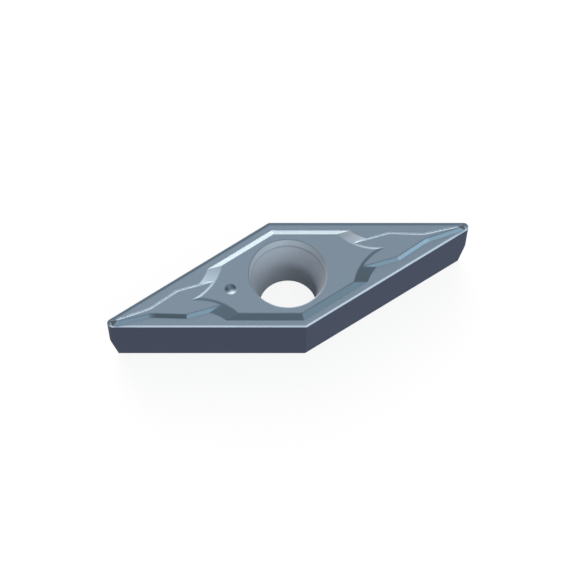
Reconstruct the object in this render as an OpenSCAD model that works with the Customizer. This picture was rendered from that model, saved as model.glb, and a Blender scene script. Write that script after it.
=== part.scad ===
// Indexable turning insert of cemented carbide: a slim rhombus with two sharp
// corners, positive flanks, a countersunk screw hole and a pressed chip breaker.
// The part lies on its seat face, with the screw hole on the Z axis and the long
// diagonal along X. Both halves are alike, apart from one dimple in the top.

/* [Blank] */
// Diameter of the circle that touches all four cutting edges
inscribed_circle = 9.525; // [8.9:0.025:10.5]
// Height of the cutting edge above the seat face
thickness = 4.76; // [4.4:0.02:5.4]
// Angle between the two cutting edges of an acute corner
point_angle = 35; // [34:0.5:37]
// Angle by which the flanks lean inwards towards the seat face
clearance_angle = 5; // [4:0.5:7]
// Radius of the two cutting corners
nose_radius = 0.4; // [0.36:0.01:0.5]
// How far the foot of each nose is ground back from its tip
nose_relief = 0.9; // [0.85:0.05:1.1]
// Angle from upright of that second relief
nose_relief_angle = 16.5; // [15:0.5:20]

/* [Screw hole] */
// Bore that the clamping screw passes through
bore_d = 4.5; // [4.2:0.1:4.8]
// Mouth of the hole in the top face
mouth_d = 6.12; // [6:0.02:6.4]
// Height of the steep collar below the mouth
collar_h = 0.73; // [0.5:0.01:0.9]
// Angle from upright of the collar
collar_angle = 6.5; // [4:0.5:9]
// Radius of the bell-shaped seat for the screw head
seat_radius = 4.8; // [4:0.1:5.5]

/* [Edge land] */
// Width of the land behind the cutting edge
land_w = 0.21; // [0.16:0.01:0.25]
// Drop of the chip floor below the cutting edge
floor_drop = 0.05; // [0.035:0.005:0.065]

/* [Island] */
// Height of the island's top above the cutting edge
island_rise = 0.25; // [0.2:0.005:0.3]
// Distance from the cutting edge to the rim of the island's top
island_setback = 1.16; // [1:0.01:1.3]
// Slope of the island's straight sides
island_slope = 31.5; // [28:0.5:35]
// Radius of the scooped sides at the island's top
scoop_radius = 4.59; // [4.5:0.01:4.7]
// Distance from the nose centre back to the centres of the scoops
scoop_back = 5.65; // [5.5:0.01:5.8]
// Distance of those centres from the long diagonal
scoop_side = 4.335; // [4.25:0.005:4.37]
// Slope of the scooped sides
scoop_slope = 16; // [14:0.5:18]

/* [Tongue] */
// Drop of the tongue's top below the island's top
tongue_drop = 0.05; // [0.04:0.005:0.08]
// Slope of the tongue's sides
tongue_slope = 44; // [38:1:50]
// Distance from the nose centre back to the tongue's root inside the island
root_back = 9.3; // [9:0.1:9.6]
// Half the tongue's width at its root
root_half = 1.12; // [1.05:0.01:1.2]
// Distance from the nose centre back to the tongue's shoulders
shoulder_back = 5.78; // [5.5:0.02:6]
// Half the tongue's width at its shoulders
shoulder_half = 1.11; // [1.05:0.01:1.2]
// Distance from the nose centre back to the waist, where the tongue becomes a rib
waist_back = 3.2; // [3:0.05:3.5]
// Half the tongue's width at the waist
waist_half = 0.195; // [0.15:0.005:0.25]
// Radius that blends the tongue into the rib
waist_radius = 2; // [1:0.25:3]
// Distance from the nose centre back to the rib's end
rib_back = 0.36; // [0.25:0.01:0.45]
// Half the rib's width at its end
rib_half = 0.045; // [0.03:0.005:0.06]
// Slope of the rib's end
rib_end_slope = 30; // [26:1:40]

/* [Corner mark] */
// Distance of the dimple from the axis of the hole
mark_x = 4.71; // [4.4:0.05:5]
// Diameter of the dimple in the top face
mark_d = 0.9; // [0.7:0.05:1]
// Depth of the dimple
mark_depth = 0.15; // [0.12:0.01:0.25]

/* [Hidden] */
$fn = 96;

half_angle = point_angle / 2;
// Distance of the nose centre from the axis of the hole, and of the tip of the nose
nose_x = (inscribed_circle / 2 - nose_radius) / sin(half_angle);
tip_x = nose_x + nose_radius;
floor_z = thickness - floor_drop;
island_z = thickness + island_rise;
tongue_z = island_z - tongue_drop;
// Widening of each form for every unit of height
flank_growth = tan(clearance_angle);
land_growth = land_w / floor_drop;
island_growth = -1 / tan(island_slope);
scoop_growth = 1 / tan(scoop_slope);
tongue_growth = 1 / tan(tongue_slope);
// Length at which every cutter has run out of the part, and how deep forms overlap
reach = 3 * tip_x;
overlap = 0.2;
// Share of the height to its apex that a widening cone is drawn for
cone_share = 0.9;
// Angle by which the two halves of a rounded tip pass each other
cap_overlap = 2;
carbide_grey = [0.5, 0.57, 0.62];

// Everything behind a flat side that passes at the given distance from the Z axis
// at height z0, faces +Y and moves outwards by growth for each unit of height.
module behind_side(distance, z0, growth, z_low, z_high) {
    rotate([90, 0, 90])
        linear_extrude(height = 2 * reach, center = true)
            polygon([[-reach, z_low],
                     [distance + growth * (z_low - z0), z_low],
                     [distance + growth * (z_high - z0), z_high],
                     [-reach, z_high]]);
}

// A wedge that points along +X, with its tip rounded by a cone on the Z axis. Its
// sides touch the cone, whose radius at height z0 is the given one.
module rounded_wedge(half, radius, z0, growth, z_low, z_high) {
    cone_low = growth > 0 ? max(z_low, z0 - cone_share * radius / growth) : z_low;
    difference() {
        sharp_wedge(half, radius, z0, growth, z_low, z_high);
        past_tangents(half, z_low, z_high);
    }
    both_sides()
        rotate([0, 0, half - 90])
            rotate_extrude(angle = 90 - half + cap_overlap)
                polygon([[0, cone_low], [radius + growth * (cone_low - z0), cone_low],
                         [radius + growth * (z_high - z0), z_high], [0, z_high]]);
}

module sharp_wedge(half, distance, z0, growth, z_low, z_high) {
    intersection() {
        rotate([0, 0, -half]) behind_side(distance, z0, growth, z_low, z_high);
        rotate([0, 0, half]) mirror([0, 1, 0]) behind_side(distance, z0, growth, z_low, z_high);
    }
}

// The sector of a rounded wedge between the lines at which its cone touches its sides.
module past_tangents(half, z_low, z_high) {
    intersection_for (turn = [-half, half])
        rotate([0, 0, turn])
            translate([0, -reach, z_low - overlap])
                cube([2 * reach, 2 * reach, z_high - z_low + 2 * overlap]);
}

module both_ends() {
    children();
    mirror([1, 0, 0]) children();
}

module both_sides() {
    children();
    mirror([0, 1, 0]) children();
}

// The plan shape of the insert between two heights, widening by growth with height.
module rounded_rhombus(growth, z_low, z_high) {
    intersection() {
        translate([nose_x, 0, 0])
            rounded_wedge(half_angle, nose_radius, thickness, growth, z_low, z_high);
        mirror([1, 0, 0]) translate([nose_x, 0, 0])
            rounded_wedge(half_angle, nose_radius, thickness, growth, z_low, z_high);
    }
}

// What the second relief at the two noses leaves: a bar with slanting ends.
module between_reliefs() {
    foot_x = tip_x - nose_relief;
    top_x = foot_x + island_z * tan(nose_relief_angle);
    rotate([90, 0, 0])
        linear_extrude(height = 2 * reach, center = true)
            polygon([[-foot_x, 0], [foot_x, 0], [top_x, island_z], [-top_x, island_z]]);
}

// The body before pressing, as tall as the island.
module blank() {
    intersection() {
        rounded_rhombus(flank_growth, -overlap, island_z + overlap);
        between_reliefs();
    }
}

// What the top lacks all round: the edge land and the chip floor, with the island
// and the two tongues left standing.
module chip_groove() {
    difference() {
        land_pocket();
        island();
        both_ends() tongue();
    }
}

module land_pocket() {
    intersection() {
        rounded_rhombus(land_growth, floor_z - floor_drop / 2, island_z + overlap);
        translate([-reach, -reach, floor_z]) cube([2 * reach, 2 * reach, thickness]);
    }
}

// The raised middle that the hole passes through, with two scooped sides at each end.
module island() {
    side_distance = inscribed_circle / 2 - island_setback;
    scoop_x = nose_x - scoop_back;
    difference() {
        intersection() {
            sharp_rhombus(side_distance, island_growth, floor_z - overlap,
                          island_z + 2 * overlap);
            cube([2 * scoop_x, 2 * reach, 4 * thickness], center = true);
        }
        both_ends() both_sides()
            translate([scoop_x, scoop_side, 0])
                scoop();
    }
}

module sharp_rhombus(side_distance, growth, z_low, z_high) {
    intersection_for (angle = [-half_angle, half_angle])
        rotate([0, 0, angle])
            intersection_for (flip = [0, 1])
                mirror([0, flip, 0])
                    behind_side(side_distance, island_z, growth, z_low, z_high);
}

// A cone that widens upwards and hollows one side of the island.
module scoop() {
    z_low = floor_z - 2 * overlap;
    z_high = island_z + 3 * overlap;
    translate([0, 0, z_low])
        cylinder(h = z_high - z_low, r1 = scoop_radius + scoop_growth * (z_low - island_z),
                 r2 = scoop_radius + scoop_growth * (z_high - island_z));
}

// The flat-topped tongue in front of the island, which narrows to a rib at the nose.
module tongue() {
    root_x = nose_x - root_back;
    shoulder_x = nose_x - shoulder_back;
    flare = atan2(shoulder_half - root_half, shoulder_x - root_x);
    z_low = floor_z - overlap;
    difference() {
        intersection() {
            both_flanks_of_tongue(root_x, flare, z_low);
            tongue_length(root_x, z_low);
        }
        both_sides() waist_cut(shoulder_x, z_low);
    }
}

module both_flanks_of_tongue(root_x, flare, z_low) {
    intersection_for (flip = [0, 1])
        mirror([0, flip, 0])
            translate([root_x, root_half, 0])
                rotate([0, 0, flare])
                    behind_side(0, tongue_z, -tongue_growth, z_low, tongue_z);
}

module tongue_length(root_x, z_low) {
    end_x = nose_x - rib_back;
    foot_x = end_x + (tongue_z - z_low) / tan(rib_end_slope);
    rotate([90, 0, 0])
        linear_extrude(height = 2 * reach, center = true)
            polygon([[root_x, z_low], [foot_x, z_low], [end_x, tongue_z], [root_x, tongue_z]]);
}

// The hollow on one side of the tongue: a blunt wedge whose rounded tip makes the waist.
module waist_cut(shoulder_x, z_low) {
    waist_x = nose_x - waist_back;
    front_angle = atan2(waist_half - shoulder_half, waist_x - shoulder_x);
    rib_angle = atan2(rib_half - waist_half, waist_back - rib_back);
    half = 90 - (rib_angle - front_angle) / 2;
    pointing = (front_angle + rib_angle) / 2 - 90;
    centre_back = waist_radius / sin(half);
    translate([waist_x - centre_back * cos(pointing), waist_half - centre_back * sin(pointing), 0])
        rotate([0, 0, pointing])
            rounded_wedge(half, waist_radius, tongue_z, tongue_growth, z_low - overlap,
                          tongue_z + overlap);
}

// The screw hole: a straight bore, a bell-shaped seat and a steep collar at the mouth.
module screw_hole() {
    bore_r = bore_d / 2;
    collar_foot_r = mouth_d / 2 - collar_h * tan(collar_angle);
    collar_foot_z = island_z - collar_h;
    bell_rise = sqrt(pow(seat_radius, 2) - pow(seat_radius + bore_r - collar_foot_r, 2));
    bell_foot_z = collar_foot_z - bell_rise;
    top_z = island_z + overlap;
    rotate_extrude()
        intersection() {
            difference() {
                polygon([[0, -overlap], [bore_r, -overlap], [bore_r, bell_foot_z],
                         [mouth_d, bell_foot_z], [mouth_d, top_z], [0, top_z]]);
                translate([bore_r + seat_radius, bell_foot_z]) circle(r = seat_radius);
            }
            polygon([[0, -overlap],
                     [mouth_d / 2 - (island_z + overlap) * tan(collar_angle), -overlap],
                     [mouth_d / 2 + overlap * tan(collar_angle), top_z],
                     [0, top_z]]);
        }
}

// The round dimple that tells the two corners apart.
module corner_mark() {
    ball_r = (pow(mark_d / 2, 2) + pow(mark_depth, 2)) / (2 * mark_depth);
    translate([-mark_x, 0, island_z - mark_depth + ball_r]) sphere(r = ball_r);
}

module insert() {
    color(carbide_grey)
        difference() {
            blank();
            chip_groove();
            screw_hole();
            corner_mark();
        }
}

insert();
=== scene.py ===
import math

import bpy
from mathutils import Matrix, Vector

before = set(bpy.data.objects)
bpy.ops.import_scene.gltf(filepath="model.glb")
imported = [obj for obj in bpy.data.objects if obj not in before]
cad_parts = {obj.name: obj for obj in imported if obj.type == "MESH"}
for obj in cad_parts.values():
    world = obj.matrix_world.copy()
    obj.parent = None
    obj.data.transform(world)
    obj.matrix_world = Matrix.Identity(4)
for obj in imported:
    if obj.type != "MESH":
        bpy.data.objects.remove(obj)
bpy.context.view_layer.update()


# The insert: one body of sintered tungsten carbide in a thin vapour coating, which turns it
# blue-grey. The top and the screw hole are left as pressed. The flanks and the seat are ground
# before coating, so they are smoother and look darker, and their darker colour is partly painted
# shade.
MM = 0.001
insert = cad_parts["insert"]


class Wire:
    """An output of a shader node, on which Python arithmetic adds Math nodes."""

    def __init__(self, finish, socket):
        self.finish = finish
        self.socket = socket

    def maths(self, operation, left, right):
        return self.finish.node("ShaderNodeMath", {"operation": operation}, {0: left, 1: right})

    def __add__(self, other):
        return self.maths("ADD", self, other)

    def __radd__(self, other):
        return self.maths("ADD", other, self)

    def __sub__(self, other):
        return self.maths("SUBTRACT", self, other)

    def __rsub__(self, other):
        return self.maths("SUBTRACT", other, self)

    def __mul__(self, other):
        return self.maths("MULTIPLY", self, other)

    def __rmul__(self, other):
        return self.maths("MULTIPLY", other, self)

    def __truediv__(self, other):
        return self.maths("DIVIDE", self, other)

    def __pow__(self, other):
        return self.maths("POWER", self, other)

    def __gt__(self, other):
        return self.maths("GREATER_THAN", self, other)

    def __lt__(self, other):
        return self.maths("LESS_THAN", self, other)


class Finish:
    """The node tree of a material or of the world, emptied and filled again."""

    noise_detail = 2

    def __init__(self, owner):
        owner.use_nodes = True
        self.tree = owner.node_tree
        self.tree.nodes.clear()

    def node(self, kind, settings=None, inputs=None, output=0):
        """Add a node, set it, link or fill its inputs, and give one of its outputs."""
        made = self.tree.nodes.new(kind)
        for name, value in (settings or {}).items():
            setattr(made, name, value)
        for name, value in (inputs or {}).items():
            if isinstance(value, Wire):
                self.tree.links.new(value.socket, made.inputs[name])
            else:
                made.inputs[name].default_value = value
        return Wire(self, made.outputs[output]) if made.outputs else None

    def mix_colour(self, factor, first, second):
        return self.node("ShaderNodeMix", {"data_type": "RGBA"}, {0: factor, 6: first, 7: second},
                         output=2)

    def noise(self, place, scale):
        return self.node("ShaderNodeTexNoise", {"noise_dimensions": "3D"},
                         {"Vector": place, "Scale": scale, "Detail": self.noise_detail})

    def parts(self, vector):
        """The x, y and z of a vector, as three wires."""
        split = self.node("ShaderNodeSeparateXYZ", None, {0: vector})
        outputs = split.socket.node.outputs
        return [Wire(self, outputs[axis]) for axis in "XYZ"]


white = (1, 1, 1, 1)

# Pressed top: satin metal, a little darker towards the right end, which is painted shade.
lit_left_colour = (0.218, 0.307, 0.377, 1)
shaded_right_colour = (0.201, 0.285, 0.351, 1)
insert_length = 30 * MM
metal_roughness = 0.30
grazing_tint = (0.61, 0.66, 0.73, 1)

# Ground flanks: darker metal with fine lines along them, which the wheel has left; their darker
# colour is partly painted shade. They are what faces less upwards than any pressed slope does.
shaded_ground_colour = (0.084, 0.094, 0.142, 1)
least_upward_pressed = 0.3
line_spacing = 0.035 * MM
line_length = 2.5 * MM
line_height = 0.0003 * MM
line_roughness = 0.08

# Hole: matt and paler than the top. Its colour is painted light and shade: lighter at one side
# than at the other, and darker from the collar at the mouth down to the bore. A painted shadow
# runs in the crease under the steep collar at the mouth.
hole_radius = 3.07 * MM
hole_roughness = 0.50
mouth_light_side = math.radians(62)
shaded_collar_colour = (0.35, 0.40, 0.45, 1)
lit_collar_colour = (0.79, 0.90, 1.0, 1)
crease_shadow_colour = (0.50, 0.56, 0.62, 1)
shaded_bell_colour = (0.31, 0.345, 0.38, 1)
lit_bell_colour = (0.72, 0.80, 0.885, 1)
bore_light_side = math.radians(163)
shaded_bore_colour = (0.34, 0.37, 0.40, 1)
lit_bore_colour = (0.72, 0.78, 0.845, 1)
collar_foot = 4.28 * MM
crease_height = 0.11 * MM
bell_foot = 2.82 * MM
bore_top = 1.8 * MM

# Grain of the sintered body, and slow changes of the coating's colour. The grain's and
# the lines' heights are metres of relief, of which the bump shows a part.
grain_size = 0.03 * MM
grain_height = 0.0006 * MM
grain_roughness = 0.04
cloud_size = 3 * MM
unevenness = 0.02
bump_strength = 0.3
bump_distance = 1.0

# Edges: the cutting edge is sharp, and the pressed ridges and corners above it are
# round. The narrow slope behind a ridge, up to the nose, and the collar at the hole's
# mouth are nearly all rounding, and they face more upwards than their flat forms do.
cutting_edge_radius = 0.03 * MM
cutting_edge_samples = 8
pressed_edge_radius = 0.13 * MM
pressed_edge_samples = 12
pressed_edge_foot = 4.79 * MM
nose_start = 14.1 * MM
ridge_back_facing = 0.6
upwards = (0, 0, 1)
ridge_lift = 0.18
collar_lift = 0.4


def coated_carbide():
    material = bpy.data.materials.new("coated_carbide")
    finish = Finish(material)
    place = finish.node("ShaderNodeTexCoord", output="Object")
    x, y, z = finish.parts(place)
    facing = finish.node("ShaderNodeNewGeometry", output="Normal")
    facing_y, facing_z = finish.parts(facing)[1:]
    in_hole = (x * x + y * y) ** 0.5 < hole_radius
    ground = (facing_z < least_upward_pressed) * (1 - in_hole)

    grain = finish.noise(place, 1 / grain_size)
    cloud = finish.noise(place, 1 / cloud_size)
    along = finish.node("ShaderNodeVectorMath", {"operation": "MULTIPLY"},
                        {0: place, 1: (1 / line_length, 1 / line_length, 1 / line_spacing)})
    lines = finish.noise(along, 1.0)

    def side_to_side(light_side, dark, light):
        along_side = x * math.cos(light_side) + y * math.sin(light_side)
        return finish.mix_colour(along_side / (2 * hole_radius) + 0.5, dark, light)

    # Painted light and shade in the hole: each part is lighter towards one side, the hole is
    # darker deeper down, and a painted shadow lies in the crease under the collar.
    bore = side_to_side(bore_light_side, shaded_bore_colour, lit_bore_colour)
    bell = side_to_side(mouth_light_side, shaded_bell_colour, lit_bell_colour)
    collar = side_to_side(mouth_light_side, shaded_collar_colour, lit_collar_colour)
    inside = finish.mix_colour((z - bore_top) / (bell_foot - bore_top), bore, bell)
    inside = finish.mix_colour(z > collar_foot - crease_height, inside, crease_shadow_colour)
    inside = finish.mix_colour(z > collar_foot, inside, collar)
    # Painted shade: the top is a little darker towards the right end.
    colour = finish.mix_colour(x / insert_length + 0.5, lit_left_colour, shaded_right_colour)
    # The ground flanks' darker colour is partly painted shade.
    colour = finish.mix_colour(ground, colour, shaded_ground_colour)
    colour = finish.mix_colour(in_hole, colour, inside)
    colour = finish.mix_colour(unevenness * (cloud + grain - 1), colour, white)
    roughness = (metal_roughness + (hole_roughness - metal_roughness) * in_hole
                 + grain_roughness * (grain - 0.5) * (1 - ground)
                 + line_roughness * (lines - 0.5) * ground)

    sharp = finish.node("ShaderNodeBevel", {"samples": cutting_edge_samples},
                        {"Radius": cutting_edge_radius})
    round_off = finish.node("ShaderNodeBevel", {"samples": pressed_edge_samples},
                            {"Radius": pressed_edge_radius})
    behind_nose = (x * x) ** 0.5 < nose_start
    edges = finish.node("ShaderNodeMix", {"data_type": "VECTOR"},
                        {0: (z > pressed_edge_foot) * behind_nose, 4: sharp, 5: round_off},
                        output=1)
    ridge_back = ((facing_y > ridge_back_facing) * (facing_z > least_upward_pressed)
                  * behind_nose * (1 - in_hole))
    on_collar = in_hole * (z > collar_foot)
    lift = finish.node("ShaderNodeVectorMath", {"operation": "SCALE"},
                       {0: upwards,
                        "Scale": ridge_lift * ridge_back + collar_lift * on_collar})
    edges = finish.node("ShaderNodeVectorMath", {"operation": "ADD"}, {0: edges, 1: lift})
    edges = finish.node("ShaderNodeVectorMath", {"operation": "NORMALIZE"}, {0: edges})
    height = grain_height * grain * (1 - ground) + line_height * lines * ground
    bumped = finish.node("ShaderNodeBump", None,
                         {"Strength": bump_strength, "Distance": bump_distance, "Height": height,
                          "Normal": edges})
    surface = finish.node("ShaderNodeBsdfPrincipled", None,
                          {"Base Color": colour, "Metallic": 1 - in_hole,
                           "Roughness": roughness, "Specular IOR Level": 0.0,
                           "Specular Tint": grazing_tint, "Normal": bumped})
    finish.node("ShaderNodeOutputMaterial", None, {"Surface": surface})
    return material


insert.material_slots[0].material = coated_carbide()


# The stage: a plain pale floor that the insert lies on, which shows white where the
# light falls on it and keeps the soft shadow.
floor_size = 3.0
bpy.ops.mesh.primitive_plane_add(size=floor_size)
floor = bpy.context.object
floor.name = "floor"

black = (0, 0, 0, 1)
pale = (0.8, 0.8, 0.8, 1)
seen_pale = (0.24, 0.24, 0.24, 1)
mirrored_glow = (0.7, 0.7, 0.7, 1)
seen_glow = (0.86, 0.86, 0.86, 1)


def pale_floor():
    material = bpy.data.materials.new("pale_floor")
    finish = Finish(material)
    seen = finish.node("ShaderNodeLightPath", output="Is Camera Ray")
    mirrored = finish.node("ShaderNodeLightPath", output="Is Glossy Ray")
    passed = finish.node("ShaderNodeLightPath", output="Is Transmission Ray")
    background = mirrored + passed
    glow = finish.mix_colour(background, black, mirrored_glow)
    glow = finish.mix_colour(seen, glow, seen_glow)
    base = finish.mix_colour(background, pale, black)
    base = finish.mix_colour(seen, base, seen_pale)
    surface = finish.node("ShaderNodeBsdfPrincipled", None,
                          {"Base Color": base, "Roughness": 1.0, "Specular IOR Level": 0.0,
                           "Emission Color": glow, "Emission Strength": 1.0})
    finish.node("ShaderNodeOutputMaterial", None, {"Surface": surface})
    return material


floor.data.materials.append(pale_floor())


# The camera of the photograph: a parallel view, turned 17.5 degrees and looking down
# at 60. The hole's axis, at the height of the cutting edge, meets the picture at hole_pixel,
# a little above its middle.
turn = math.radians(-17.5)
elevation = math.radians(60)
pixels_per_mm = 12.69
frame_pixels = 576
hole_pixel = (287.755, 275.165)
edge_height = 4.76 * MM
camera_distance = 0.5
nearest_seen = 0.01
furthest_seen = 5
pixel = MM / pixels_per_mm
look = Vector((-math.sin(turn) * math.cos(elevation), math.cos(turn) * math.cos(elevation),
               -math.sin(elevation)))
right = Vector((math.cos(turn), math.sin(turn), 0))
up = right.cross(look)
middle = (Vector((0, 0, edge_height)) + right * (frame_pixels / 2 - hole_pixel[0]) * pixel
          - up * (frame_pixels / 2 - hole_pixel[1]) * pixel)
camera = bpy.data.objects.new("camera", bpy.data.cameras.new("camera"))
camera.data.type = "ORTHO"
camera.data.ortho_scale = frame_pixels * pixel
camera.data.clip_start = nearest_seen
camera.data.clip_end = furthest_seen
camera.location = middle - look * camera_distance
camera.rotation_euler = look.to_track_quat("-Z", "Y").to_euler()
bpy.context.scene.collection.objects.link(camera)
bpy.context.scene.camera = camera


# The light: a dim white room with soft light boxes, narrower where their falloff is
# larger. A bright low strip behind lights the slopes that face away, and boxes above,
# behind and at the right in front light the rest. The camera sees plain white instead.
room_glow = (0.24, 0.24, 0.24)
light_boxes = [
    {"azimuth": 75, "elevation": -3, "glow": (5.60, 4.50, 4.05), "falloff": 30},
    {"azimuth": 60, "elevation": 3, "glow": (2.54, 1.88, 1.48), "falloff": 20},
    {"azimuth": 90, "elevation": 5, "glow": (4.70, 3.66, 2.92), "falloff": 13.5},
    {"azimuth": 80, "elevation": 35, "glow": (1.26, 1.01, 1.07), "falloff": 13.5},
    {"azimuth": 95, "elevation": 42, "glow": (0.90, 0.90, 0.89), "falloff": 13.5},
    {"azimuth": 300, "elevation": 25, "glow": (1.77, 1.95, 2.07), "falloff": 13.5},
    {"azimuth": 305, "elevation": 81, "glow": (0.43, 0.46, 0.52), "falloff": 13.5},
]


def white_studio():
    world = bpy.data.worlds.new("studio")
    studio = Finish(world)
    direction = studio.node("ShaderNodeTexCoord", output="Generated")
    glow = room_glow
    for box in light_boxes:
        azimuth = math.radians(box["azimuth"])
        elevation = math.radians(box["elevation"])
        centre = (math.cos(azimuth) * math.cos(elevation), math.sin(azimuth) * math.cos(elevation),
                  math.sin(elevation))
        off_centre = studio.node("ShaderNodeVectorMath", {"operation": "DOT_PRODUCT"},
                                 {0: direction, 1: centre}, output="Value") - 1
        brightness = studio.node("ShaderNodeMath", {"operation": "EXPONENT"},
                                 {0: box["falloff"] * off_centre})
        box_glow = studio.node("ShaderNodeVectorMath", {"operation": "SCALE"},
                               {0: box["glow"], "Scale": brightness})
        glow = studio.node("ShaderNodeVectorMath", {"operation": "ADD"}, {0: glow, 1: box_glow})
    seen = studio.node("ShaderNodeLightPath", output="Is Camera Ray")
    glow = studio.mix_colour(seen, glow, white)
    background = studio.node("ShaderNodeBackground", None, {"Color": glow, "Strength": 1.0})
    studio.node("ShaderNodeOutputWorld", None, {"Surface": background})
    return world


bpy.context.scene.world = white_studio()
bpy.context.scene.view_settings.view_transform = "Standard"
